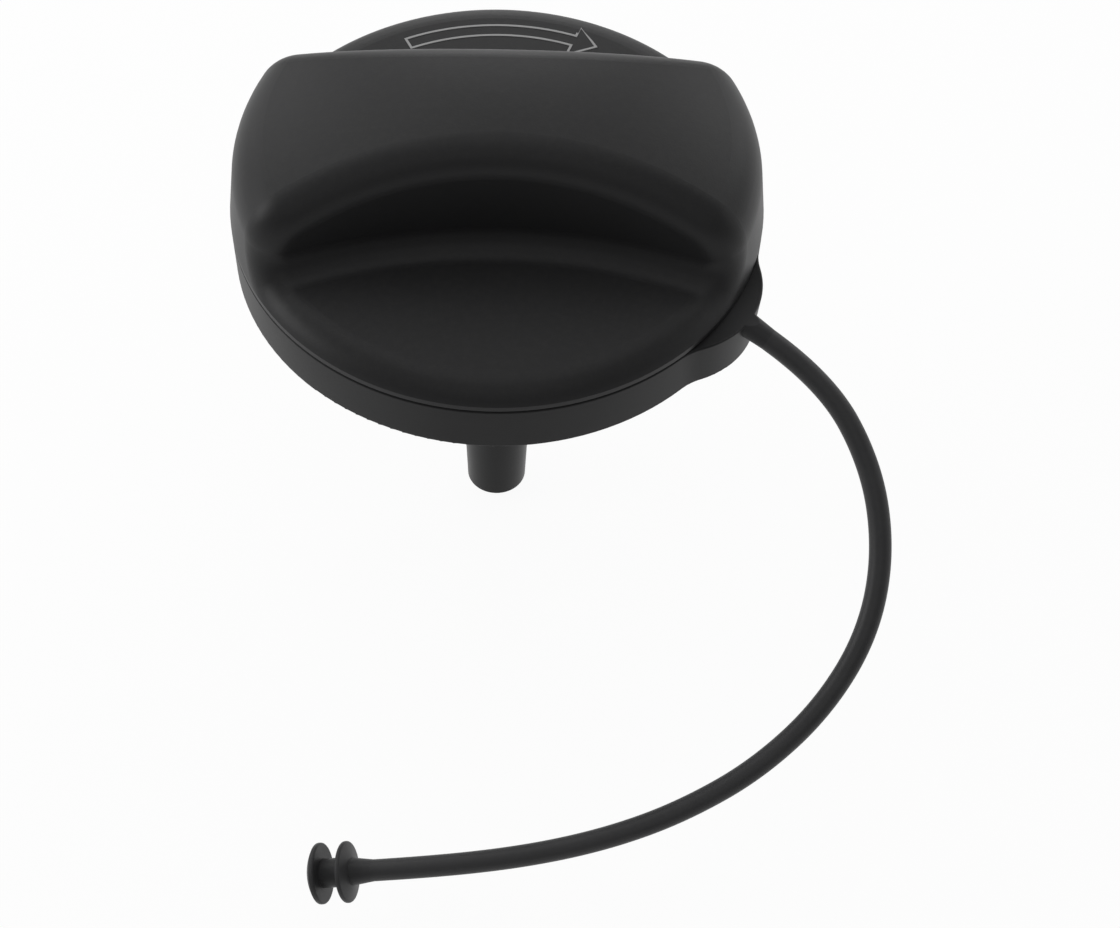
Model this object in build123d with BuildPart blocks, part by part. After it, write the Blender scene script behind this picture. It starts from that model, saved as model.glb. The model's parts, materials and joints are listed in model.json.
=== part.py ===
from build123d import *
import os
from math import acos, cos, hypot, pi, radians, sin, tan

os.makedirs("parts", exist_ok=True)

# Screw-in fuel filler cap with a tether. Lengths in mm, angles in degrees.
# Z is the cap's axis. Z = 0 is the face where the gasket meets the filler neck.
# The grip bar runs along X.

# ---------------------------------------------------------------- driving dimensions
cap_radius = 40.0          # cover and tether ring, at the joint line between them
seam_z = 13.7              # height of that joint line
seam_gap = 0.3             # gap between cover and tether ring
bar_height = 23.0          # top of the grip bar above the joint line
bar_half_width = 12.0      # at the middle of the bar
bar_end_radius = 38.6      # from the axis to the bar's ends, below their round shoulder
shoulder_radius = 9.0
crown_radius = 80.0        # of the bar's top along its length
scoop_radius = 80.0        # of the finger scoops in plan
floor_height = 3.8         # flat floor beside the bar, above the joint line
foot_radius = 3.7          # where the bar's sides meet the floor
edge_radius = 5.0          # round edge of bar and rim
cover_wall = 2.2

tooth_count = 24           # ratchet teeth inside the cover
tooth_root = 30.8
tooth_tip = 29.8
ratchet_wall_radius = 33.0
pawl_count = 4

ring_height = 8.5          # tether ring's skirt
ring_wall = 2.4
ring_web = 1.8
lug_radius = 13.8
lug_centre = 29.5          # its distance from the cap's axis
lug_angle = -30.0          # from +X
lug_taper = 4.0            # its side leans in towards the bottom
lug_blend = 9.0            # between the lug's side and the skirt

gasket_thickness = 3.0
gasket_radius = 27.4
flange_radius = 31.0
flange_thickness = 2.0
drum_radius = 25.6         # carries the ratchet ring
bearing_radius = 27.0      # the tether ring turns on it
running_gap = 0.1
thread_radius = 23.0
core_radius = 20.6
thread_pitch = 6.0
thread_length = 16.0       # threaded sleeve below the sealing face
sleeve_bore = 18.0

housing_radius = 17.8      # valve housing, a push fit in the sleeve
chamber_radius = 15.0
stem_end_z = -56.6
stem_top_radius = 5.7
stem_end_radius = 4.95

cord_diameter = 3.3
# Route of the tether's cord from the lug to the button, heights from the joint line.
cord_route = [
    (38.2, -22.9, -2.0),
    (48.3, -29.0, -5.7),
    (55.1, -39.3, -12.5),
    (57.0, -49.6, -20.0),
    (54.8, -59.2, -27.2),
    (48.3, -67.9, -33.7),
    (39.0, -74.6, -39.6),
    (28.6, -78.9, -44.3),
    (18.4, -81.8, -47.2),
    (6.9, -82.9, -51.1),
    (-6.8, -83.2, -54.5),
    (-17.2, -82.4, -57.7),
]
arc_share = 0.45           # of the shorter run that each bend's arc takes
cord_root_length = 2.0     # of the moulded root that the lug gives the cord
cord_root_swell = 0.3

# ---------------------------------------------------------------- derived heights
overlap = 0.2              # how far one form reaches into another that it joins
flange_bottom = gasket_thickness
flange_top = flange_bottom + flange_thickness
ring_bottom = seam_z - ring_height
ring_top = seam_z - seam_gap / 2
web_top = ring_bottom + ring_web
shoulder_z = web_top + 0.2          # holds the tether ring down with a little play
ratchet_bottom = web_top + 0.3
cover_bottom = seam_z + seam_gap / 2
floor_z = seam_z + floor_height
floor_underside = floor_z - cover_wall
bar_top = seam_z + bar_height


def finish(part, name):
    part.label = name
    export_step(part, f"parts/{name}.step")


def polar(radius, angle):
    return (radius * cos(radians(angle)), radius * sin(radians(angle)))


# ---------------------------------------------------------------- cover
def cap_form(inset):
    """The cover's form, or with an inset, the hollow that leaves a wall of that thickness."""
    form_bottom = seam_z - 4.0  # below the joint line, so that the rim's edge can be rounded
    rim_z = seam_z + 1.0        # the bar's ends lean in from here
    reach = crown_radius - inset
    crown_centre = bar_top - crown_radius
    half_length = bar_end_radius - inset
    end_angle = acos(half_length / reach)
    middle_angle = (end_angle + pi / 2) / 2
    crown_end = (half_length, crown_centre + reach * sin(end_angle))
    crown_middle = (reach * cos(middle_angle), crown_centre + reach * sin(middle_angle))
    with BuildPart() as form:
        with BuildSketch(Plane.XZ) as half:
            with BuildLine():
                ThreePointArc((0, bar_top - inset), crown_middle, crown_end)
                Polyline(
                    crown_end,
                    (cap_radius - inset, rim_z),
                    (cap_radius - inset, form_bottom),
                    (0, form_bottom),
                    (0, bar_top - inset),
                )
            make_face()
            shoulder = half.vertices().group_by(Axis.X)[-2].sort_by(Axis.Y)[-1]
            fillet(shoulder, shoulder_radius - inset)
        revolve(axis=Axis.Z)
        for side in (-1, 1):
            scoop_y = side * (bar_half_width + scoop_radius)
            side_reach = scoop_radius + inset
            middle = Plane(origin=(0, scoop_y, 0), x_dir=(1, 0, 0), z_dir=(0, -1, 0))
            with BuildSketch(middle) as scoop:
                with Locations((0, floor_z - inset)):
                    Rectangle(side_reach, bar_height, align=(Align.MIN, Align.MIN))
                foot = scoop.vertices().sort_by(Axis.X)[-2:].sort_by(Axis.Y)[0]
                fillet(foot, foot_radius + inset)
            revolve(axis=Axis((0, scoop_y, 0), (0, 0, 1)), mode=Mode.SUBTRACT)
        fillet([e for e in form.edges() if is_outer_edge(e, inset)], edge_radius - inset)
    return form.part


def is_outer_edge(edge, inset):
    """True on the closed edge round each scoop: along the bar, down its ends and round the rim."""
    c = edge.center()
    from_axis = hypot(c.X, c.Y)
    floor = floor_z - inset
    foot = foot_radius + inset
    from_scoop = hypot(c.X, abs(c.Y) - bar_half_width - scoop_radius) - scoop_radius - inset
    on_rim = abs(c.Z - floor) < 0.01 and from_axis > cap_radius - inset - 2
    at_foot = abs(c.X) < 1 and c.Z < floor + foot + 1
    on_bar = abs(from_scoop) < foot and c.Z > floor + 0.05 and not at_foot
    return on_rim or (on_bar and from_axis > bar_half_width - inset - 1.5)


rib_places = [-28, -20, -12, 12, 20, 28]
rib_thickness = 1.4
rib_clear_of_floor = 2.0
tooth_back = 0.98          # share of the pitch that a tooth's slope takes
hook_angles = [55, 90, 125, 235, 270, 305]
hook_arc = 22
hook_radius = 21.9         # outside, just clear of the drum's lip
hook_thickness = 1.6
hook_catch = 1.1           # how far its nose reaches under the lip
hook_nose = 2.0
lip_radius = 22.2
lip_bottom = 10.6

with BuildPart() as hollow:
    add(cap_form(cover_wall))
    # ribs across the bar stay solid, down to just above the floor
    with Locations([(x, 0, floor_z + rib_clear_of_floor) for x in rib_places]):
        Box(
            rib_thickness,
            2 * cap_radius,
            bar_height,
            align=(Align.CENTER, Align.CENTER, Align.MIN),
            mode=Mode.SUBTRACT,
        )

with BuildPart() as cover:
    add(cap_form(0))
    add(hollow.part, mode=Mode.SUBTRACT)
    split(bisect_by=Plane.XY.offset(cover_bottom), keep=Keep.TOP)
    # ratchet wall with saw teeth that face inwards, hanging from the floor
    with BuildSketch(Plane.XY.offset(ratchet_bottom)):
        Circle(ratchet_wall_radius)
        Circle(tooth_root, mode=Mode.SUBTRACT)
        pitch = 360 / tooth_count
        for k in range(tooth_count):
            tooth_end = (k - tooth_back) * pitch
            with BuildLine():
                Polyline(
                    polar(tooth_root + overlap, k * pitch),
                    polar(tooth_tip, k * pitch),
                    polar(tooth_root, tooth_end),
                    polar(tooth_root + overlap, tooth_end),
                    close=True,
                )
            make_face()
    extrude(amount=floor_underside - ratchet_bottom + overlap)
    # six hooks that hold the cover to the drum and slide round under its lip
    catch_z = lip_bottom - 0.2
    with BuildSketch(Plane.XZ):
        with BuildLine():
            Polyline(
                (hook_radius - hook_thickness, floor_underside + overlap),
                (hook_radius, floor_underside + overlap),
                (hook_radius, catch_z),
                (hook_radius + hook_catch, catch_z - 0.3),
                (hook_radius + 0.1, catch_z - hook_nose),
                (hook_radius - hook_thickness, catch_z - hook_nose),
                close=True,
            )
        make_face()
    hook = revolve(axis=Axis.Z, revolution_arc=hook_arc, mode=Mode.PRIVATE)
    for angle in hook_angles:
        add(hook.rotate(Axis.Z, angle - hook_arc / 2))
finish(cover.part, "cover")

# ---------------------------------------------------------------- ratchet ring
ratchet_ring_wall = 1.7
ratchet_ring_height = 5.2
ratchet_ring_gap = 0.1
pawl_arc = 36              # from a pawl's tip back to the ring
pawl_bend = 16             # angle where its curve is set
pawl_rise = 1.3            # how far it has leaned in by there
pawl_thickness = 1.2
pawl_root_thickness = 2.4
tooth_clearance = 0.35
dog_angle = 60
dog_width = 4.0
dog_depth = 1.6
dog_height = 1.0

with BuildPart() as ratchet_ring:
    with BuildSketch(Plane.XY.offset(shoulder_z)):
        Circle(drum_radius + ratchet_ring_wall)
        for k in range(pawl_count):
            tip_angle = k * 360 / pawl_count + 0.6
            bend_angle = tip_angle + pawl_bend
            root_angle = tip_angle + pawl_arc
            tip = tooth_root - tooth_clearance
            root = tip - 2 * pawl_rise
            # each pawl is a springy arm that leans out into a gap between two teeth
            with BuildLine():
                outer = ThreePointArc(
                    polar(tip, tip_angle),
                    polar(tip - pawl_rise, bend_angle),
                    polar(root, root_angle),
                )
                inner = ThreePointArc(
                    polar(tip - pawl_thickness, tip_angle),
                    polar(tip - pawl_rise - pawl_thickness, bend_angle),
                    polar(root - pawl_root_thickness, root_angle),
                )
                Line(outer @ 0, inner @ 0)
                Line(outer @ 1, inner @ 1)
            make_face()
        Circle(drum_radius + ratchet_ring_gap, mode=Mode.SUBTRACT)
    extrude(amount=ratchet_ring_height)
    # notches for the dogs on the drum's shoulder
    with BuildSketch(Plane.XY.offset(shoulder_z)):
        ring_middle = drum_radius + ratchet_ring_wall / 2
        with PolarLocations(ring_middle, pawl_count, start_angle=dog_angle):
            Rectangle(2 * ratchet_ring_wall, dog_width + 2 * ratchet_ring_gap)
    extrude(amount=dog_height + ratchet_ring_gap, mode=Mode.SUBTRACT)
finish(ratchet_ring.part, "ratchet_ring")

# ---------------------------------------------------------------- closure body
drum_top = floor_underside - 1.6
lip_chamfer = 0.5
drum_bore = 23.6
drum_bottom_bore = 21.4
thread_turns = 1.6
thread_root_depth = 0.6    # how far its roots are sunk in the core
thread_crest = 1.0
thread_foot = 3.5          # thickness at its roots
thread_start_z = -thread_length + 2.4

with BuildPart() as closure_body:
    with BuildSketch(Plane.XZ):
        with BuildLine():
            Polyline(
                (sleeve_bore, -thread_length),
                (core_radius, -thread_length),
                (core_radius, flange_bottom),
                (flange_radius, flange_bottom),
                (flange_radius, flange_top),
                (bearing_radius, flange_top),
                (bearing_radius, shoulder_z),
                (drum_radius, shoulder_z),
                (drum_radius, drum_top),
                (lip_radius + lip_chamfer, drum_top),
                (lip_radius, drum_top - lip_chamfer),
                (lip_radius, lip_bottom),
                (drum_bore, lip_bottom),
                (drum_bore, flange_top + lip_chamfer),
                (drum_bottom_bore, flange_top),
                (sleeve_bore, flange_top),
                close=True,
            )
        make_face()
    revolve(axis=Axis.Z)
    # dogs that key the ratchet ring to the shoulder
    with BuildSketch(Plane.XY.offset(shoulder_z)):
        with PolarLocations(bearing_radius - dog_depth / 2, pawl_count, start_angle=dog_angle):
            Rectangle(dog_depth, dog_width)
    extrude(amount=dog_height)
    # two-start trapezoidal thread
    for start in (0, 180):
        with BuildPart(mode=Mode.PRIVATE) as ridge:
            with BuildLine(Plane.XY) as path:
                Helix(
                    pitch=2 * thread_pitch,
                    height=thread_turns * thread_pitch,
                    radius=core_radius,
                    center=(0, 0, thread_start_z),
                )
            with BuildSketch(Plane.XZ):
                with BuildLine():
                    Polyline(
                        (core_radius - thread_root_depth, thread_start_z - thread_foot / 2),
                        (thread_radius, thread_start_z - thread_crest / 2),
                        (thread_radius, thread_start_z + thread_crest / 2),
                        (core_radius - thread_root_depth, thread_start_z + thread_foot / 2),
                        close=True,
                    )
                make_face()
            sweep(path=path.wires()[0], is_frenet=True)
        add(ridge.part.rotate(Axis.Z, start))
finish(closure_body.part, "closure_body")

# ---------------------------------------------------------------- neck gasket
gasket_bore = core_radius + 0.1
gasket_edge = 0.6

with BuildPart() as neck_gasket:
    with BuildSketch(Plane.XZ):
        with Locations((gasket_bore, 0)):
            Rectangle(gasket_radius - gasket_bore, gasket_thickness, align=(Align.MIN, Align.MIN))
    revolve(axis=Axis.Z)
    rims = neck_gasket.edges().filter_by(GeomType.CIRCLE)
    fillet(rims.group_by(SortBy.RADIUS)[-1], gasket_edge)
finish(neck_gasket.part, "neck_gasket")

# ---------------------------------------------------------------- tether ring
skirt_draft = 0.14         # the skirt leans in by this much over its height
top_edge_radius = 0.3
bottom_edge_radius = 0.5
gusset_count = 16
gusset_thickness = 1.2
gusset_height = 4.0
gusset_foot = ratchet_wall_radius + 0.8
exit_point = Vector(*cord_route[0]) + Vector(0, 0, seam_z)
exit_direction = (Vector(*cord_route[1]) - Vector(*cord_route[0])).normalized()
root_depth = 3.0           # of the cord's root inside the lug
lug_x, lug_y = polar(lug_centre, lug_angle)


def is_lug_corner(edge):
    """True on the two upright edges where the lug leaves the skirt."""
    c = edge.center()
    on_lug = abs(hypot(c.X - lug_x, c.Y - lug_y) - lug_radius) < 0.6
    on_skirt = abs(hypot(c.X, c.Y) - cap_radius) < 0.6
    return on_lug and on_skirt and ring_bottom + 1 < c.Z < ring_top - 1


with BuildPart() as tether_ring:
    # skirt with a little draft, and the lug that the cord grows from
    with BuildSketch(Plane.XZ):
        with BuildLine():
            Polyline(
                (0, ring_top),
                (cap_radius, ring_top),
                (cap_radius - skirt_draft, ring_bottom),
                (0, ring_bottom),
                close=True,
            )
        make_face()
    revolve(axis=Axis.Z)
    with BuildSketch(Plane.XY.offset(ring_bottom)):
        with Locations((lug_x, lug_y)):
            Circle(lug_radius - ring_height * tan(radians(lug_taper)))
    extrude(amount=ring_top - ring_bottom, taper=-lug_taper)
    fillet([e for e in tether_ring.edges() if is_lug_corner(e)], lug_blend)
    fillet(tether_ring.edges().group_by(Axis.Z)[-1], top_edge_radius)
    fillet(tether_ring.edges().group_by(Axis.Z)[0], bottom_edge_radius)
    with BuildSketch(Plane.XY.offset(web_top)):
        Circle(cap_radius - ring_wall)
    extrude(amount=ring_height, mode=Mode.SUBTRACT)
    with Locations((0, 0, ring_bottom)):
        Cylinder(bearing_radius + running_gap, 2 * ring_height, mode=Mode.SUBTRACT)
    # gussets between web and skirt
    skirt_inside = cap_radius - ring_wall + overlap
    with BuildSketch(Plane.XZ):
        with BuildLine():
            Polyline(
                (gusset_foot, web_top - overlap),
                (skirt_inside, web_top - overlap),
                (skirt_inside, web_top + gusset_height),
                (skirt_inside - 1, web_top + gusset_height),
                close=True,
            )
        make_face()
    gusset = extrude(amount=gusset_thickness / 2, both=True, mode=Mode.PRIVATE)
    for k in range(gusset_count):
        add(gusset.rotate(Axis.Z, k * 360 / gusset_count))
    # tapered root of the cord, level with the lug's top
    root_start = exit_point - exit_direction * root_depth
    root_end = exit_point + exit_direction * cord_root_length
    with BuildSketch(Plane(origin=root_start, z_dir=exit_direction)):
        Circle(cord_diameter / 2 + cord_root_swell)
    with BuildSketch(Plane(origin=root_end, z_dir=exit_direction)):
        Circle(cord_diameter / 2)
    loft()
    split(bisect_by=Plane.XY.offset(ring_top), keep=Keep.BOTTOM)
finish(tether_ring.part, "tether_ring")

# ---------------------------------------------------------------- tether cord
cord_points = [Vector(x, y, z + seam_z) for x, y, z in cord_route]
cord_points[0] = root_end
bend_radii = []
for before, point, after in zip(cord_points, cord_points[1:], cord_points[2:]):
    turn = (point - before).get_angle(after - point)
    shorter = min((point - before).length, (after - point).length)
    bend_radii.append(arc_share * shorter / tan(radians(turn / 2)))
print("cord bend radii", [round(r, 1) for r in bend_radii])

with BuildPart() as tether_cord:
    with BuildLine() as cord_path:
        FilletPolyline(*cord_points, radius=bend_radii)
    with BuildSketch(Plane(origin=cord_points[0], z_dir=exit_direction)):
        Circle(cord_diameter / 2)
    sweep()
cord_length = cord_path.wires()[0].length
expected = cord_length * pi * cord_diameter**2 / 4
print(f"cord length {cord_length:.1f}, volume share {tether_cord.part.volume / expected:.4f}")
finish(tether_cord.part, "tether_cord")

# ---------------------------------------------------------------- tether button
disc_radius = 4.6
disc_rim = 0.7             # thickness of both discs at their edge
rim_edge = 0.3
neck_length = 3.2
neck_radius = 2.1
inner_disc = 1.3           # thickness at the middle
shank_length = 3.4
shank_radius = 2.2
outer_disc = 2.1           # thickness at the top of its dome

with BuildPart() as tether_button:
    button_start = cord_points[-1]
    button_direction = (cord_points[-1] - cord_points[-2]).normalized()
    across = button_direction.cross(Vector(0, 1, 0)).normalized()
    side_plane = Plane(origin=button_start, x_dir=across, z_dir=across.cross(button_direction))
    inner_bottom = neck_length
    inner_top = inner_bottom + inner_disc
    outer_bottom = inner_top + shank_length
    outer_top = outer_bottom + outer_disc
    with BuildSketch(side_plane) as profile:
        with BuildLine():
            Polyline(
                (0, 0),
                (cord_diameter / 2, 0),
                (neck_radius, inner_bottom),
                (disc_radius, inner_top - disc_rim),
                (disc_radius, inner_top),
                (shank_radius, inner_top),
                (shank_radius, outer_bottom),
                (disc_radius, outer_bottom),
                (disc_radius, outer_bottom + disc_rim),
            )
            TangentArc((0, outer_top), (disc_radius, outer_bottom + disc_rim), tangent=(1, 0))
            Line((0, outer_top), (0, 0))
        make_face()
        fillet(profile.vertices().group_by(Axis.X)[-1], rim_edge)
    revolve(axis=Axis(button_start, button_direction))
finish(tether_button.part, "tether_button")

# ---------------------------------------------------------------- valve housing with its stem
housing_top = 6.0
snap_rim = 0.6             # catches on the sleeve's top edge
snap_slit_count = 8
snap_slit_width = 1.2
snap_slit_depth = 1.5
seat_z = -8.4              # top of the partition that carries the valve seat
partition_thickness = 1.6
seat_opening = 8.5
bead_width = 1.2
bead_crest = 0.3
bead_height = 0.8
collar_radius = 19.6       # stops against the sleeve's bottom edge
basket_top = -18.0
basket_bend = (11.4, -24.6)
basket_bend_outside = (13.0, -26.2)
basket_floor = (6.0, -27.6)
basket_floor_outside = (7.6, -29.2)
slot_count = 6
slot_ring = 12.0
slot_length = 7.0
slot_width = 3.2
slot_top = -19.0
slot_bottom = -27.4
stem_top_z = -31.5
stem_tip_chamfer = 1.6
seal_z = -4.0
seal_section = 1.7
seal_groove_depth = 1.5
seal_groove_width = 2.0
seal_squeeze = 0.02
retainer_bottom = 1.5
retainer_thickness = 1.6
retainer_groove = 0.4

groove_floor = housing_radius - seal_groove_depth
groove_bottom = seal_z - seal_groove_width / 2
groove_top = seal_z + seal_groove_width / 2
retainer_groove_top = retainer_bottom + retainer_thickness
partition_bottom = seat_z - partition_thickness

with BuildPart() as valve_housing:
    with BuildSketch(Plane.XZ):
        with BuildLine():
            # inside of the basket, and the stem
            Polyline(
                (seat_opening, partition_bottom),
                (chamber_radius, partition_bottom),
                (chamber_radius, basket_top),
                basket_bend,
                basket_floor,
                (0, basket_floor[1]),
                (0, stem_end_z),
                (stem_end_radius - stem_tip_chamfer, stem_end_z),
                (stem_end_radius, stem_end_z + stem_tip_chamfer),
                (stem_top_radius, stem_top_z),
                basket_floor_outside,
                basket_bend_outside,
                (housing_radius, basket_top),
            )
            # outside, with the seal's groove and the snap rim
            Polyline(
                (housing_radius, basket_top),
                (collar_radius, basket_top),
                (collar_radius, -thread_length),
                (housing_radius, -thread_length),
                (housing_radius, groove_bottom),
                (groove_floor, groove_bottom),
                (groove_floor, groove_top),
                (housing_radius, groove_top),
                (housing_radius, flange_top + running_gap),
                (housing_radius + snap_rim, flange_top + running_gap),
                (housing_radius, housing_top),
                (chamber_radius, housing_top),
            )
            # inside of the valve chamber, with the retainer's groove and the valve seat
            Polyline(
                (chamber_radius, housing_top),
                (chamber_radius, retainer_groove_top),
                (chamber_radius + retainer_groove, retainer_groove_top),
                (chamber_radius + retainer_groove, retainer_bottom),
                (chamber_radius, retainer_bottom),
                (chamber_radius, seat_z),
                (seat_opening + bead_width, seat_z),
                (seat_opening + bead_width - bead_crest, seat_z + bead_height),
                (seat_opening + bead_width - 2 * bead_crest, seat_z + bead_height),
                (seat_opening, seat_z),
                (seat_opening, partition_bottom),
            )
        make_face()
    revolve(axis=Axis.Z)
    # slots in the basket let the tank's vapour reach the valves
    with BuildSketch(Plane.XY.offset(slot_bottom)):
        with PolarLocations(slot_ring, slot_count):
            SlotOverall(slot_length, slot_width)
    extrude(amount=slot_top - slot_bottom, mode=Mode.SUBTRACT)
    # slits that let the snap rim spring in
    slit_ring = (housing_radius + chamber_radius) / 2
    with BuildSketch(Plane.XY.offset(housing_top - snap_slit_depth - snap_rim)):
        with PolarLocations(slit_ring, snap_slit_count):
            Rectangle(2 * (housing_radius - chamber_radius), snap_slit_width)
    extrude(amount=2 * snap_slit_depth, mode=Mode.SUBTRACT)
finish(valve_housing.part, "valve_housing")

with BuildPart() as housing_seal:
    with BuildSketch(Plane.XZ):
        with Locations((sleeve_bore - seal_section / 2, seal_z)):
            Circle(seal_section / 2 - seal_squeeze)
    revolve(axis=Axis.Z)
finish(housing_seal.part, "housing_seal")

# ---------------------------------------------------------------- pressure valve
bead_top = seat_z + bead_height
seal_thickness = 1.5
seal_bore = 6.0
plate_z = bead_top + seal_thickness
plate_radius = 12.5
plate_thickness = 1.2
plate_top = plate_z + plate_thickness
skirt_thickness = 0.9      # the plate's edge, which holds the seal in
skirt_bottom = bead_top + 0.4
boss_radius = 3.2
boss_top = -2.4
stem_bore = 1.8
vent_count = 5             # openings that lead to the vacuum valve
vent_ring = 4.6

with BuildPart() as pressure_seal:
    with BuildSketch(Plane.XY.offset(bead_top)):
        Circle(plate_radius - skirt_thickness)
        Circle(seal_bore, mode=Mode.SUBTRACT)
    extrude(amount=seal_thickness)
finish(pressure_seal.part, "pressure_seal")

with BuildPart() as pressure_plate:
    with BuildSketch(Plane.XZ):
        with BuildLine():
            Polyline(
                (stem_bore, plate_z),
                (plate_radius - skirt_thickness, plate_z),
                (plate_radius - skirt_thickness, skirt_bottom),
                (plate_radius, skirt_bottom),
                (plate_radius, plate_top),
                (boss_radius, plate_top),
                (boss_radius, boss_top),
                (stem_bore, boss_top),
                close=True,
            )
        make_face()
    revolve(axis=Axis.Z)
    with BuildSketch(Plane.XY.offset(plate_z)):
        with PolarLocations(vent_ring, vent_count):
            Rectangle(1.5, 3.0)
    extrude(amount=plate_thickness, mode=Mode.SUBTRACT)
finish(pressure_plate.part, "pressure_plate")

# ---------------------------------------------------------------- vacuum valve
vacuum_radius = 7.0
vacuum_thickness = 1.5
vacuum_chamfer = 0.6
lip_width = 0.8            # raised edge that seals against the pressure seal
lip_height = 0.5
lip_slope = 0.4
collar_z = 0.4
collar_thickness = 0.8
collar_outside = 4.9
groove_radius = 1.2
stem_point = 0.8
stem_radius = stem_bore - 0.08
vacuum_bottom = bead_top - vacuum_thickness
collar_top = collar_z + collar_thickness

with BuildPart() as vacuum_valve:
    with BuildSketch(Plane.XZ):
        with BuildLine():
            Polyline(
                (0, vacuum_bottom),
                (vacuum_radius - vacuum_chamfer, vacuum_bottom),
                (vacuum_radius, vacuum_bottom + vacuum_chamfer),
                (vacuum_radius, bead_top),
                (vacuum_radius - lip_width, bead_top),
                (vacuum_radius - lip_width - lip_slope, bead_top - lip_height),
                (stem_radius, bead_top - lip_height),
                (stem_radius, collar_z),
                (groove_radius, collar_z),
                (groove_radius, collar_top),
                (stem_radius, collar_top),
                (groove_radius, collar_top + stem_point),
                (0, collar_top + stem_point),
                close=True,
            )
        make_face()
    revolve(axis=Axis.Z)
finish(vacuum_valve.part, "vacuum_valve")

with BuildPart() as spring_collar:
    with BuildSketch(Plane.XY.offset(collar_z)):
        Circle(collar_outside)
        Circle(groove_radius + 0.02, mode=Mode.SUBTRACT)
        # slits let the collar spread over the stem's point
        with PolarLocations(2 * groove_radius, 3):
            Rectangle(2 * groove_radius, 0.5, mode=Mode.SUBTRACT)
    extrude(amount=collar_thickness)
finish(spring_collar.part, "spring_collar")

# ---------------------------------------------------------------- springs
spring_play = 0.02


def coil(radius, wire, bottom, top, turns):
    """Open coil whose wire just touches the planes at bottom and top."""
    height = top - bottom - wire
    with BuildPart() as spring:
        with BuildLine():
            path = Helix(
                pitch=height / turns,
                height=height,
                radius=radius,
                center=(0, 0, bottom + wire / 2),
            )
        with BuildSketch(Plane(origin=path @ 0, z_dir=path % 0)):
            Circle(wire / 2)
        sweep(is_frenet=True)
    return spring.part


pressure_spring = coil(
    radius=9.8,
    wire=1.1,
    bottom=plate_top + spring_play,
    top=retainer_bottom - spring_play,
    turns=3,
)
finish(pressure_spring, "pressure_spring")

vacuum_spring = coil(
    radius=4.2,
    wire=0.6,
    bottom=plate_top + spring_play,
    top=collar_z - spring_play,
    turns=5,
)
finish(vacuum_spring, "vacuum_spring")

# ---------------------------------------------------------------- spring retainer
retainer_radius = chamber_radius + 0.3
retainer_bore = 5.8
spring_guide_radius = 8.9
spring_guide_wall = 0.9
spring_guide_height = 1.8
window_count = 6
window_ring = 12.6
window_length = 4.6
window_width = 2.0
retainer_top = retainer_groove_top - 0.1

with BuildPart() as spring_retainer:
    with BuildSketch(Plane.XZ):
        with BuildLine():
            Polyline(
                (retainer_bore, retainer_bottom),
                (spring_guide_radius - spring_guide_wall, retainer_bottom),
                (spring_guide_radius - spring_guide_wall, retainer_bottom - spring_guide_height),
                (spring_guide_radius, retainer_bottom - spring_guide_height),
                (spring_guide_radius, retainer_bottom),
                (retainer_radius, retainer_bottom),
                (retainer_radius, retainer_top),
                (retainer_bore, retainer_top),
                close=True,
            )
        make_face()
    revolve(axis=Axis.Z)
    with BuildSketch(Plane.XY.offset(retainer_bottom)):
        with PolarLocations(window_ring, window_count):
            SlotOverall(window_length, window_width, rotation=90)
    extrude(amount=retainer_thickness, mode=Mode.SUBTRACT)
finish(spring_retainer.part, "spring_retainer")
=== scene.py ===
import json
from math import cos, radians, sin

import bmesh
import bpy
import numpy as np
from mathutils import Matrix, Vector


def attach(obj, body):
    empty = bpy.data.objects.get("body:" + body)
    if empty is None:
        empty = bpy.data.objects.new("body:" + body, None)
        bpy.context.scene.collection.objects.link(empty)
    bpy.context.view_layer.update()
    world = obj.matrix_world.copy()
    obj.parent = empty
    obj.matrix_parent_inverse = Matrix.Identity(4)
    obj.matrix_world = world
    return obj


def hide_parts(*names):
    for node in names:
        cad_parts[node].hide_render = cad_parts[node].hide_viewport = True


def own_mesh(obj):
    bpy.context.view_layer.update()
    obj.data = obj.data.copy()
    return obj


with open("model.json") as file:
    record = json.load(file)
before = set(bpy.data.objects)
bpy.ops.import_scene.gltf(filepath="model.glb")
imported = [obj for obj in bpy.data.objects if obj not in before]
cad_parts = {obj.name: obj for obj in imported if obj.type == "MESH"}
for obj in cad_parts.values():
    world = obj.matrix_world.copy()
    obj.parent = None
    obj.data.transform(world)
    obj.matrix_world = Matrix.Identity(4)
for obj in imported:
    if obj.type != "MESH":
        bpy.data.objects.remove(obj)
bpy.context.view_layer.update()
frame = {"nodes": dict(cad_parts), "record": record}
nodes = frame["nodes"]
print("frame loaded:", len(nodes), "nodes")


# Camera, at the height of someone looking down at the cap on a table.
cameraLook = dict(
    place=(0.0030, -0.24535, 0.28211),
    turn=(36.2005, -1.3635, 0.0),   # degrees about X, Y, Z
    lens=77.14, sensorWidth=36,     # mm
    nearest=0.01,
)


def addCamera(look):
    data = bpy.data.cameras.new("camera")
    data.lens = look["lens"]
    data.sensor_width = look["sensorWidth"]
    data.sensor_fit = "HORIZONTAL"
    data.clip_start = look["nearest"]
    camera = bpy.data.objects.new("camera", data)
    camera.location = look["place"]
    camera.rotation_euler = [radians(a) for a in look["turn"]]
    bpy.context.scene.collection.objects.link(camera)
    bpy.context.scene.camera = camera


addCamera(cameraLook)
print("camera placed")


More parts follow.
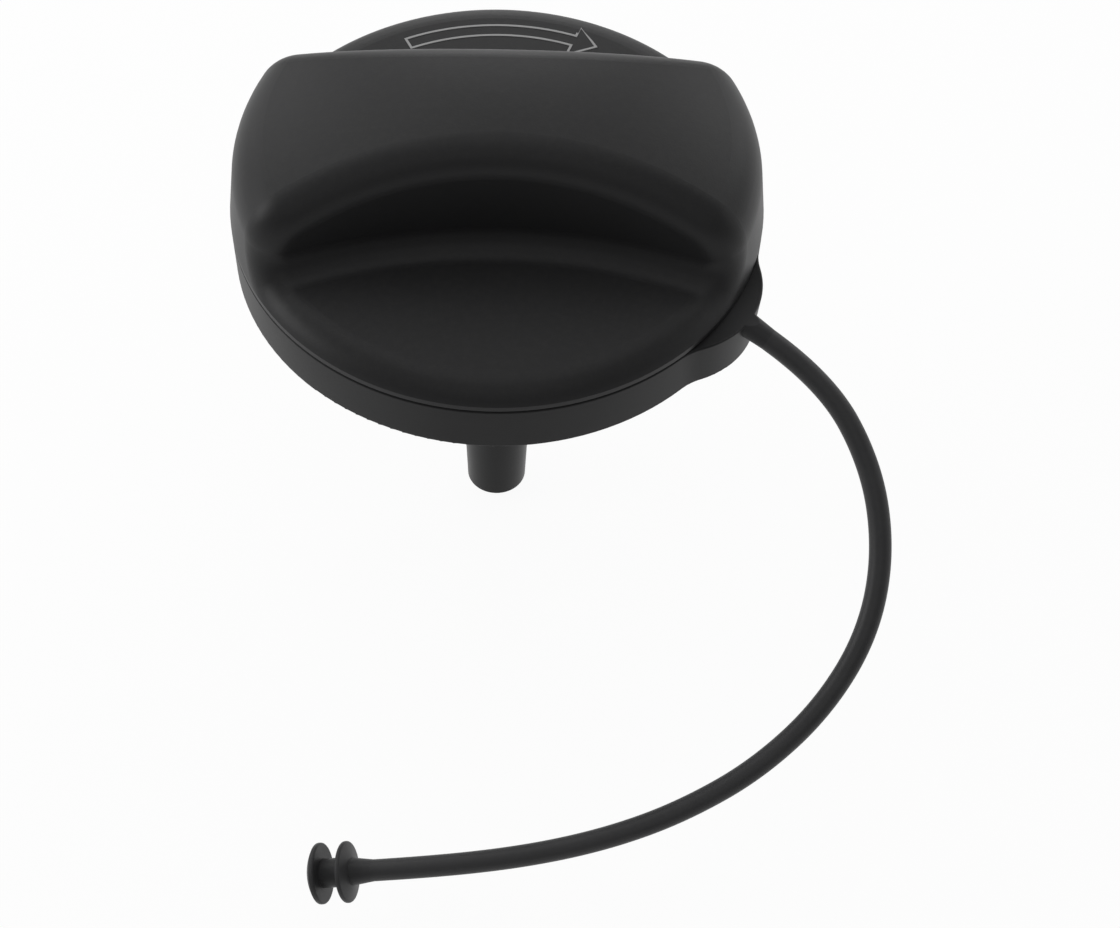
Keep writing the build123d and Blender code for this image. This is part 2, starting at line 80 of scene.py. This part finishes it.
# Node group helpers: every group has named inputs and outputs.
def newGroup(name, inputs, outputs):
    group = bpy.data.node_groups.new(name, "ShaderNodeTree")
    kinds = {"f": "NodeSocketFloat", "c": "NodeSocketColor", "v": "NodeSocketVector"}
    for label, kind, value in inputs:
        socket = group.interface.new_socket(label, in_out="INPUT", socket_type=kinds[kind])
        socket.default_value = value
    for label, kind in outputs:
        group.interface.new_socket(label, in_out="OUTPUT", socket_type=kinds[kind])
    source = group.nodes.new("NodeGroupInput")
    result = group.nodes.new("NodeGroupOutput")
    return group, source, result


def addNode(tree, kind, **values):
    node = tree.nodes.new(kind)
    for name, value in values.items():
        setattr(node, name, value)
    return node


def setInputs(node, **values):
    for name, value in values.items():
        node.inputs[name].default_value = value


# Moulded surface: a fine grain, a broad slow unevenness and a slight change of tone.
mouldedNoise = dict(
    grainDetail=3.0, grainBreak=0.6, waveDetail=2.0, waveBreak=0.5,
    grainShare=0.4,    # the tone is the wave plus this share of the grain
    toneMean=0.7,      # and this is what that comes to on average
)


def moulded(noise):
    group, source, result = newGroup(
        "mouldedSurface",
        [("Grain Scale", "f", 2600.0), ("Grain Height", "f", 0.00002),
         ("Wave Scale", "f", 45.0), ("Wave Height", "f", 0.0001),
         ("Colour", "c", (0.02, 0.02, 0.02, 1)), ("Pale Colour", "c", (0.03, 0.03, 0.03, 1)),
         ("Roughness", "f", 0.4), ("Spread", "f", 0.1)],
        [("Colour", "c"), ("Roughness", "f"), ("Normal", "v")],
    )
    link = group.links.new
    place = addNode(group, "ShaderNodeTexCoord")
    grain = addNode(group, "ShaderNodeTexNoise")
    setInputs(grain, Detail=noise["grainDetail"], Roughness=noise["grainBreak"])
    link(place.outputs["Object"], grain.inputs["Vector"])
    link(source.outputs["Grain Scale"], grain.inputs["Scale"])
    wave = addNode(group, "ShaderNodeTexNoise")
    setInputs(wave, Detail=noise["waveDetail"], Roughness=noise["waveBreak"])
    link(place.outputs["Object"], wave.inputs["Vector"])
    link(source.outputs["Wave Scale"], wave.inputs["Scale"])

    low = addNode(group, "ShaderNodeBump")
    link(source.outputs["Wave Height"], low.inputs["Distance"])
    link(wave.outputs["Fac"], low.inputs["Height"])
    fine = addNode(group, "ShaderNodeBump")
    link(source.outputs["Grain Height"], fine.inputs["Distance"])
    link(grain.outputs["Fac"], fine.inputs["Height"])
    link(low.outputs["Normal"], fine.inputs["Normal"])
    link(fine.outputs["Normal"], result.inputs["Normal"])

    both = addNode(group, "ShaderNodeMath", operation="MULTIPLY_ADD")
    both.inputs[1].default_value = noise["grainShare"]
    link(grain.outputs["Fac"], both.inputs[0])
    link(wave.outputs["Fac"], both.inputs[2])
    middle = addNode(group, "ShaderNodeMath", operation="SUBTRACT")
    middle.inputs[1].default_value = noise["toneMean"]
    link(both.outputs[0], middle.inputs[0])
    rough = addNode(group, "ShaderNodeMath", operation="MULTIPLY_ADD")
    link(middle.outputs[0], rough.inputs[0])
    link(source.outputs["Spread"], rough.inputs[1])
    link(source.outputs["Roughness"], rough.inputs[2])
    link(rough.outputs[0], result.inputs["Roughness"])

    tone = addNode(group, "ShaderNodeMix", data_type="RGBA")
    link(both.outputs[0], tone.inputs["Factor"])
    link(source.outputs["Colour"], tone.inputs["A"])
    link(source.outputs["Pale Colour"], tone.inputs["B"])
    link(tone.outputs["Result"], result.inputs["Colour"])
    return group


# Fine dust that settles where a surface faces up, in a thin broken film.
dustNoise = dict(
    detail=4.0, breakUp=0.7,
    bareUnder=0.42, fullOver=0.75,   # values of the noise
    steepest=0.2,                    # Z of the surface's normal where dust starts to lie
)


def settledDust(noise):
    group, source, result = newGroup(
        "settledDust",
        [("Colour", "c", (0.02, 0.02, 0.02, 1)), ("Dust Colour", "c", (0.3, 0.29, 0.28, 1)),
         ("Amount", "f", 0.02), ("Speck Scale", "f", 900.0)],
        [("Colour", "c"), ("Mask", "f")],
    )
    link = group.links.new
    place = addNode(group, "ShaderNodeTexCoord")
    facing = addNode(group, "ShaderNodeSeparateXYZ")
    link(place.outputs["Normal"], facing.inputs[0])
    speck = addNode(group, "ShaderNodeTexNoise")
    setInputs(speck, Detail=noise["detail"], Roughness=noise["breakUp"])
    link(place.outputs["Object"], speck.inputs["Vector"])
    link(source.outputs["Speck Scale"], speck.inputs["Scale"])
    broken = addNode(group, "ShaderNodeMapRange", clamp=True)
    setInputs(broken, **{"From Min": noise["bareUnder"], "From Max": noise["fullOver"]})
    link(speck.outputs["Fac"], broken.inputs["Value"])
    up = addNode(group, "ShaderNodeMapRange", clamp=True)
    setInputs(up, **{"From Min": noise["steepest"], "From Max": 1.0})
    link(facing.outputs["Z"], up.inputs["Value"])
    film = addNode(group, "ShaderNodeMath", operation="MULTIPLY")
    link(broken.outputs[0], film.inputs[0])
    link(up.outputs[0], film.inputs[1])
    mask = addNode(group, "ShaderNodeMath", operation="MULTIPLY")
    link(film.outputs[0], mask.inputs[0])
    link(source.outputs["Amount"], mask.inputs[1])
    link(mask.outputs[0], result.inputs["Mask"])
    tone = addNode(group, "ShaderNodeMix", data_type="RGBA")
    link(mask.outputs[0], tone.inputs["Factor"])
    link(source.outputs["Colour"], tone.inputs["A"])
    link(source.outputs["Dust Colour"], tone.inputs["B"])
    link(tone.outputs["Result"], result.inputs["Colour"])
    return group


mouldedSurface = moulded(mouldedNoise)
dustFilm = settledDust(dustNoise)
print("shader groups made")


def newMaterial(name):
    material = bpy.data.materials.new(name)
    material.use_nodes = True
    tree = material.node_tree
    tree.nodes.clear()
    output = addNode(tree, "ShaderNodeOutputMaterial")
    surface = addNode(tree, "ShaderNodeBsdfPrincipled")
    tree.links.new(surface.outputs["BSDF"], output.inputs["Surface"])
    return material, tree, surface


def rgb(value):
    return (value[0], value[1], value[2], 1.0)


# Plastic and rubber: moulded surface under a film of dust.
def mouldedMaterial(name, look):
    material, tree, surface = newMaterial(name)
    base = addNode(tree, "ShaderNodeGroup", node_tree=mouldedSurface)
    setInputs(base, **{
        "Grain Scale": look["grainScale"], "Grain Height": look["grainHeight"],
        "Wave Scale": look["waveScale"], "Wave Height": look["waveHeight"],
        "Colour": rgb(look["colour"]), "Pale Colour": rgb(look["paleColour"]),
        "Roughness": look["roughness"], "Spread": look["spread"],
    })
    dust = addNode(tree, "ShaderNodeGroup", node_tree=dustFilm)
    setInputs(dust, **{"Amount": look["dust"]})
    tree.links.new(base.outputs["Colour"], dust.inputs["Colour"])
    tree.links.new(dust.outputs["Colour"], surface.inputs["Base Color"])
    tree.links.new(base.outputs["Roughness"], surface.inputs["Roughness"])
    tree.links.new(base.outputs["Normal"], surface.inputs["Normal"])
    surface.inputs["Specular IOR Level"].default_value = look["gloss"]
    return material


coverLook = dict(
    colour=(0.0150, 0.0150, 0.0156), paleColour=(0.0187, 0.0187, 0.0193),
    grainScale=3200.0, grainHeight=0.000012, waveScale=38.0, waveHeight=0.00006,
    roughness=0.44, spread=0.08, gloss=0.2, dust=0.012,
)
# Painted shade: the ring is coloured darker than the cord it is moulded with, to hold back the
# light its wall takes from the floor.
ringLookPaintedShade = dict(
    colour=(0.0095, 0.0095, 0.0099), paleColour=(0.0122, 0.0122, 0.0126),
    grainScale=2600.0, grainHeight=0.00001, waveScale=52.0, waveHeight=0.00008,
    roughness=0.43, spread=0.1, gloss=0.15, dust=0.008,
)
cordLook = dict(
    colour=(0.0275, 0.0275, 0.0285), paleColour=(0.0355, 0.0355, 0.0367),
    grainScale=1900.0, grainHeight=0.000014, waveScale=160.0, waveHeight=0.00008,
    roughness=0.46, spread=0.12, gloss=0.24, dust=0.015,
)
bodyLook = dict(
    colour=(0.028, 0.028, 0.029), paleColour=(0.038, 0.038, 0.039),
    grainScale=2200.0, grainHeight=0.00001, waveScale=60.0, waveHeight=0.0001,
    roughness=0.4, spread=0.12, gloss=0.3, dust=0.01,
)
housingLook = dict(
    colour=(0.0105, 0.0105, 0.0109), paleColour=(0.0140, 0.0140, 0.0144),
    grainScale=2000.0, grainHeight=0.00001, waveScale=70.0, waveHeight=0.0001,
    roughness=0.36, spread=0.12, gloss=0.12, dust=0.008,
)
naturalLook = dict(
    colour=(0.71, 0.69, 0.62), paleColour=(0.79, 0.77, 0.7),
    grainScale=1500.0, grainHeight=0.00001, waveScale=80.0, waveHeight=0.00008,
    roughness=0.35, spread=0.1, gloss=0.5, dust=0.0,
)
rubberLook = dict(
    colour=(0.013, 0.013, 0.013), paleColour=(0.022, 0.022, 0.022),
    grainScale=1300.0, grainHeight=0.00003, waveScale=120.0, waveHeight=0.00005,
    roughness=0.72, spread=0.15, gloss=0.4, dust=0.02,
)


# Spring wire: drawn steel with fine flat marks, which change its tone, its sheen and its relief.
wireLook = dict(
    colour=(0.52, 0.52, 0.53), darkColour=(0.34, 0.34, 0.36),
    smoothest=0.2, roughest=0.4,
    markScale=900.0, markDetail=4.0, markBreak=0.65, markFlatness=6.0, markDepth=0.00001,
)


def wireMaterial(name, look):
    material, tree, surface = newMaterial(name)
    place = addNode(tree, "ShaderNodeTexCoord")
    stretch = addNode(tree, "ShaderNodeMapping")
    stretch.inputs["Scale"].default_value = (1.0, 1.0, look["markFlatness"])
    marks = addNode(tree, "ShaderNodeTexNoise")
    setInputs(
        marks, Scale=look["markScale"], Detail=look["markDetail"], Roughness=look["markBreak"],
    )
    tone = addNode(tree, "ShaderNodeMix", data_type="RGBA")
    tone.inputs["A"].default_value = rgb(look["darkColour"])
    tone.inputs["B"].default_value = rgb(look["colour"])
    sheen = addNode(tree, "ShaderNodeMapRange")
    setInputs(sheen, **{"To Min": look["smoothest"], "To Max": look["roughest"]})
    bump = addNode(tree, "ShaderNodeBump")
    bump.inputs["Distance"].default_value = look["markDepth"]
    link = tree.links.new
    link(place.outputs["Object"], stretch.inputs["Vector"])
    link(stretch.outputs["Vector"], marks.inputs["Vector"])
    link(marks.outputs["Fac"], tone.inputs["Factor"])
    link(tone.outputs["Result"], surface.inputs["Base Color"])
    link(marks.outputs["Fac"], sheen.inputs["Value"])
    link(sheen.outputs[0], surface.inputs["Roughness"])
    link(marks.outputs["Fac"], bump.inputs["Height"])
    link(bump.outputs["Normal"], surface.inputs["Normal"])
    surface.inputs["Metallic"].default_value = 1.0
    return material


# Printed line: pale grey ink, slightly uneven.
inkLook = dict(
    colour=(0.25, 0.25, 0.25), paleColour=(0.31, 0.31, 0.31),
    grainScale=2600.0, grainHeight=0.000008, waveScale=400.0, waveHeight=0.00001,
    roughness=0.5, spread=0.1, gloss=0.4, dust=0.0,
)

# The ring's tone runs over into the cord's round the cord's root, as both are one moulding.
rootBlend = dict(
    colour=(0.0331, 0.0331, 0.0342), place=(0.0398, -0.0239, 0.0111), near=0.002, far=0.011,
)


def blendAtRoot(material, look):
    tree = material.node_tree
    link = tree.links.new
    surface = tree.nodes["Principled BSDF"]
    plain = surface.inputs["Base Color"].links[0].from_socket
    place = addNode(tree, "ShaderNodeTexCoord")
    away = addNode(tree, "ShaderNodeVectorMath", operation="DISTANCE")
    away.inputs[1].default_value = look["place"]
    near = addNode(tree, "ShaderNodeMapRange", clamp=True, interpolation_type="SMOOTHSTEP")
    setInputs(near, **{
        "From Min": look["near"], "From Max": look["far"], "To Min": 1.0, "To Max": 0.0,
    })
    mix = addNode(tree, "ShaderNodeMix", data_type="RGBA")
    mix.inputs["B"].default_value = rgb(look["colour"])
    link(place.outputs["Object"], away.inputs[0])
    link(away.outputs["Value"], near.inputs["Value"])
    link(near.outputs[0], mix.inputs["Factor"])
    link(plain, mix.inputs["A"])
    link(mix.outputs["Result"], surface.inputs["Base Color"])


materials = {
    "black_plastic": mouldedMaterial("coverPlastic", coverLook),
    "ring_plastic": mouldedMaterial("ringPlasticPaintedShade", ringLookPaintedShade),
    "cord_plastic": mouldedMaterial("cordPlastic", cordLook),
    "body_plastic": mouldedMaterial("bodyPlastic", bodyLook),
    "housing_plastic": mouldedMaterial("housingPlastic", housingLook),
    "natural_plastic": mouldedMaterial("naturalPlastic", naturalLook),
    "seal_rubber": mouldedMaterial("sealRubber", rubberLook),
    "spring_steel": wireMaterial("springWire", wireLook),
}
inkMaterial = mouldedMaterial("paleInk", inkLook)
blendAtRoot(materials["ring_plastic"], rootBlend)


def dressNodes():
    for part in frame["record"]["subparts"]:
        mesh = nodes[part["node"]].data
        mesh.materials.clear()
        mesh.materials.append(materials[part["material_slot"]])


dressNodes()
print("materials on", len(nodes), "nodes")


# In the cap the springs shorten as their valves open; here each is a copy of its solid, listed
# with the valve's joint, travel and the end that stays: 0 for the lower end, 1 for the upper end.
springLooks = dict(
    pressureCoil=dict(
        node="pressure_spring", body="closure", joint="pressure_lift", travel=0.002, stays=1,
    ),
    vacuumCoil=dict(
        node="vacuum_spring", body="pressure_valve", joint="vacuum_drop", travel=0.0015, stays=0,
    ),
)
springMesh = dict(mergeWithin=1e-6, sharpAngle=40)   # metres, degrees


def addSpring(name, look, finish):
    coil = bmesh.new()
    coil.from_mesh(nodes[look["node"]].data)
    bmesh.ops.remove_doubles(coil, verts=coil.verts, dist=finish["mergeWithin"])
    mesh = bpy.data.meshes.new(name)
    coil.to_mesh(mesh)
    coil.free()
    mesh.materials.append(materials["spring_steel"])
    mesh.shade_smooth()
    mesh.set_sharp_from_angle(angle=radians(finish["sharpAngle"]))
    spring = bpy.data.objects.new(name, mesh)
    bpy.context.scene.collection.objects.link(spring)
    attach(spring, look["body"])
    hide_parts(look["node"])
    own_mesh(spring)


for springName, springLook in springLooks.items():
    addSpring(springName, springLook, springMesh)
print("springs made")


# Tether cord: a smooth line from the lug to the button. Its control points are the corners of the
# solid's route.
cordLine = dict(
    diameter=0.0033,
    jointHeight=0.0137,   # the points' heights count from here
    points=(
        (0.03983, -0.02389, -0.00260),
        (0.0483, -0.0290, -0.0057),
        (0.0551, -0.0393, -0.0125),
        (0.0570, -0.0496, -0.0200),
        (0.0548, -0.0592, -0.0272),
        (0.0483, -0.0679, -0.0337),
        (0.0390, -0.0746, -0.0396),
        (0.0286, -0.0789, -0.0443),
        (0.0184, -0.0818, -0.0472),
        (0.0069, -0.0829, -0.0511),
        (-0.0068, -0.0832, -0.0545),
        (-0.0172, -0.0824, -0.0577),
    ),
    length=0.1348,
    sidesPerQuarter=8, stepsPerPoint=16,
)


def addCord(line):
    data = bpy.data.curves.new("tetherCord", "CURVE")
    data.dimensions = "3D"
    data.bevel_depth = line["diameter"] / 2
    data.bevel_resolution = line["sidesPerQuarter"]
    data.resolution_u = line["stepsPerPoint"]
    data.use_fill_caps = True
    spline = data.splines.new("NURBS")
    spline.points.add(len(line["points"]) - 1)
    for point, (x, y, z) in zip(spline.points, line["points"]):
        point.co = (x, y, z + line["jointHeight"], 1.0)
    spline.order_u = 3
    spline.use_endpoint_u = True
    cord = bpy.data.objects.new("tetherCord", data)
    bpy.context.scene.collection.objects.link(cord)
    data.materials.append(materials["cord_plastic"])
    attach(cord, "tether")
    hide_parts("tether_cord")
    x, y, z = line["points"][0]


addCord(cordLine)
print("cord laid")


# Arrow on the cover's back floor: one thin printed line round the outline of a curved arrow.
# Lengths are in metres, angles in degrees round the cap's axis.
arrowLine = dict(
    floorHeight=0.0175, flatRadius=0.03516, rimRound=0.005,
    outerRadius=0.0339, innerRadius=0.0317, tailAngle=116.0, neckAngle=69.6,
    headOuter=0.0362, headInner=0.0295, headAngle=69.6, tipRadius=0.0330, tipAngle=63.1,
    lineWidth=0.00038, lineHeight=0.00006, footDepth=0.00012,
    stations=60, sharpestMitre=0.45,
)


# Height of the cover's floor at a radius: flat, then lower by the rim's round minus the root of the
# round squared less the square of how far the radius is over the flat.
def floorAt(look, radius):
    over = np.clip(radius - look["flatRadius"], 0.0, look["rimRound"])
    return look["floorHeight"] - (look["rimRound"] - np.sqrt(look["rimRound"] ** 2 - over ** 2))


# Closed band along a closed plan outline. A corner's offset is half the width along the mitre,
# divided by the cosine of half the turn. Four rows follow the outline from its inner side to its
# outer side: foot, edge, edge, foot. The feet are sunk under the floor, and the edges stand a
# line's height over it.
def bandMesh(name, outline, look):
    ahead = np.roll(outline, -1, 0) - outline
    ahead /= np.linalg.norm(ahead, axis=1)[:, None]
    behind = np.roll(ahead, 1, 0)
    side = np.stack([ahead[:, 1] + behind[:, 1], -ahead[:, 0] - behind[:, 0]], 1)
    side /= np.linalg.norm(side, axis=1)[:, None]
    across = np.stack([ahead[:, 1], -ahead[:, 0]], 1)
    mitre = np.clip((side * across).sum(1), look["sharpestMitre"], 1.0)
    spread = look["lineWidth"] / 2 / mitre
    edge, foot = look["lineHeight"], -look["footDepth"]
    rows = []
    for sign, lift in ((1, foot), (1, edge), (-1, edge), (-1, foot)):
        plan = outline + sign * side * spread[:, None]
        height = floorAt(look, np.hypot(plan[:, 0], plan[:, 1])) + lift
        rows.append(np.column_stack([plan, height]))
    count = len(outline)
    points = np.concatenate(rows)
    k = np.arange(count)
    following = (k + 1) % count
    faces = []
    for row in range(4):
        base, beside = row * count, (row + 1) % 4 * count
        faces.append(np.stack([base + k, base + following, beside + following, beside + k], 1))
    mesh = bpy.data.meshes.new(name)
    mesh.from_pydata(points.tolist(), [], np.concatenate(faces).tolist())
    mesh.validate()
    return mesh


# Points of a circle about the cap's axis: the radius times the cosine and the sine of the angle.
def onCircle(radius, angle):
    return radius * np.stack([np.cos(angle), np.sin(angle)], -1)


# Plan outline: an arc at the outer radius from tail to neck, the head's outer barb, tip and inner
# barb, and an arc at the inner radius back to the tail.
def arrowOutline(look):
    tail, neck = radians(look["tailAngle"]), radians(look["neckAngle"])
    sweep = np.linspace(tail, neck, look["stations"])
    head, tip = radians(look["headAngle"]), radians(look["tipAngle"])
    barbs = [
        onCircle(look["headOuter"], head),
        onCircle(look["tipRadius"], tip),
        onCircle(look["headInner"], head),
    ]
    outer = onCircle(look["outerRadius"], sweep)
    inner = onCircle(look["innerRadius"], sweep[::-1])
    return np.concatenate([outer, barbs, inner])


def addArrow(look):
    mesh = bandMesh("closeArrow", arrowOutline(look), look)
    mesh.materials.append(inkMaterial)
    arrow = bpy.data.objects.new("closeArrow", mesh)
    bpy.context.scene.collection.objects.link(arrow)
    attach(arrow, "grip")


addArrow(arrowLine)
print("arrow drawn")


# Plain pale floor under the stem's end. To the camera, reflections and refraction it is white by
# the white share, and for the rest it is paint that takes the cap's shadow.
floorLook = dict(
    height=-0.0567, size=6.0, colour=(0.86, 0.86, 0.86), roughness=0.9, whiteShare=0.94,
)


def addFloor(look):
    half = look["size"] / 2
    corners = [(-half, -half), (half, -half), (half, half), (-half, half)]
    mesh = bpy.data.meshes.new("floor")
    mesh.from_pydata([(x, y, look["height"]) for x, y in corners], [], [(0, 1, 2, 3)])
    floor = bpy.data.objects.new("floor", mesh)
    bpy.context.scene.collection.objects.link(floor)
    material, tree, surface = newMaterial("floorPaint")
    surface.inputs["Base Color"].default_value = rgb(look["colour"])
    surface.inputs["Roughness"].default_value = look["roughness"]
    surface.inputs["Specular IOR Level"].default_value = 0.0
    path = addNode(tree, "ShaderNodeLightPath")
    seen = addNode(tree, "ShaderNodeMath", operation="ADD", use_clamp=True)
    through = addNode(tree, "ShaderNodeMath", operation="ADD", use_clamp=True)
    share = addNode(tree, "ShaderNodeMath", operation="MULTIPLY")
    share.inputs[1].default_value = look["whiteShare"]
    white = addNode(tree, "ShaderNodeEmission")
    mix = addNode(tree, "ShaderNodeMixShader")
    output = tree.nodes.get("Material Output")
    link = tree.links.new
    link(path.outputs["Is Camera Ray"], seen.inputs[0])
    link(path.outputs["Is Glossy Ray"], seen.inputs[1])
    link(seen.outputs[0], through.inputs[0])
    link(path.outputs["Is Transmission Ray"], through.inputs[1])
    link(through.outputs[0], share.inputs[0])
    link(share.outputs[0], mix.inputs["Fac"])
    link(surface.outputs["BSDF"], mix.inputs[1])
    link(white.outputs["Emission"], mix.inputs[2])
    link(mix.outputs["Shader"], output.inputs["Surface"])
    mesh.materials.append(material)


# Round soft lamps, all at one distance and turned to the cap. The strongest stand low, at the left
# and behind. turn goes round the axis from the front towards +X, and rise is the height above the
# horizon, both in degrees. power is in watts.
lampRing = dict(distance=0.8, size=0.5, aim=(0.0, -0.02, 0.01))
lampLooks = dict(
    left=dict(turn=270, rise=20, power=2.4),
    leftBack=dict(turn=225, rise=20, power=0.88),
    back=dict(turn=180, rise=20, power=1.29),
    rightBack=dict(turn=135, rise=20, power=1.01),
    right=dict(turn=90, rise=20, power=0.54),
    highLeft=dict(turn=225, rise=50, power=0.76),
    highBack=dict(turn=180, rise=50, power=0.34),
    highRight=dict(turn=135, rise=50, power=0.4),
    highFront=dict(turn=0, rise=50, power=0.34),
    top=dict(turn=0, rise=90, power=0.6),
)


def addLamp(name, ring, look):
    turn, rise = radians(look["turn"]), radians(look["rise"])
    data = bpy.data.lights.new(name, "AREA")
    data.shape = "DISK"
    data.size = ring["size"]
    data.energy = look["power"]
    lamp = bpy.data.objects.new(name, data)
    outward = Vector((sin(turn) * cos(rise), -cos(turn) * cos(rise), sin(rise)))
    lamp.location = ring["distance"] * outward
    lamp.rotation_euler = (Vector(ring["aim"]) - lamp.location).to_track_quat("-Z", "Y").to_euler()
    bpy.context.scene.collection.objects.link(lamp)


# The world's even light, and plain white where the camera looks past the floor.
worldLook = dict(colour=(1.0, 1.0, 1.0), strength=0.26)


def addWorld(look):
    world = bpy.data.worlds.new("room")
    bpy.context.scene.world = world
    world.use_nodes = True
    tree = world.node_tree
    tree.nodes.clear()
    output = addNode(tree, "ShaderNodeOutputWorld")
    light = addNode(tree, "ShaderNodeBackground")
    setInputs(light, Color=rgb(look["colour"]), Strength=look["strength"])
    backdrop = addNode(tree, "ShaderNodeBackground")
    setInputs(backdrop, Color=(1.0, 1.0, 1.0, 1.0), Strength=1.0)
    path = addNode(tree, "ShaderNodeLightPath")
    mix = addNode(tree, "ShaderNodeMixShader")
    tree.links.new(path.outputs["Is Camera Ray"], mix.inputs["Fac"])
    tree.links.new(light.outputs["Background"], mix.inputs[1])
    tree.links.new(backdrop.outputs["Background"], mix.inputs[2])
    tree.links.new(mix.outputs["Shader"], output.inputs["Surface"])


addFloor(floorLook)
for lampName, lampLook in lampLooks.items():
    addLamp(lampName, lampRing, lampLook)
addWorld(worldLook)
bpy.context.scene.view_settings.view_transform = "Standard"
print("floor and light set")
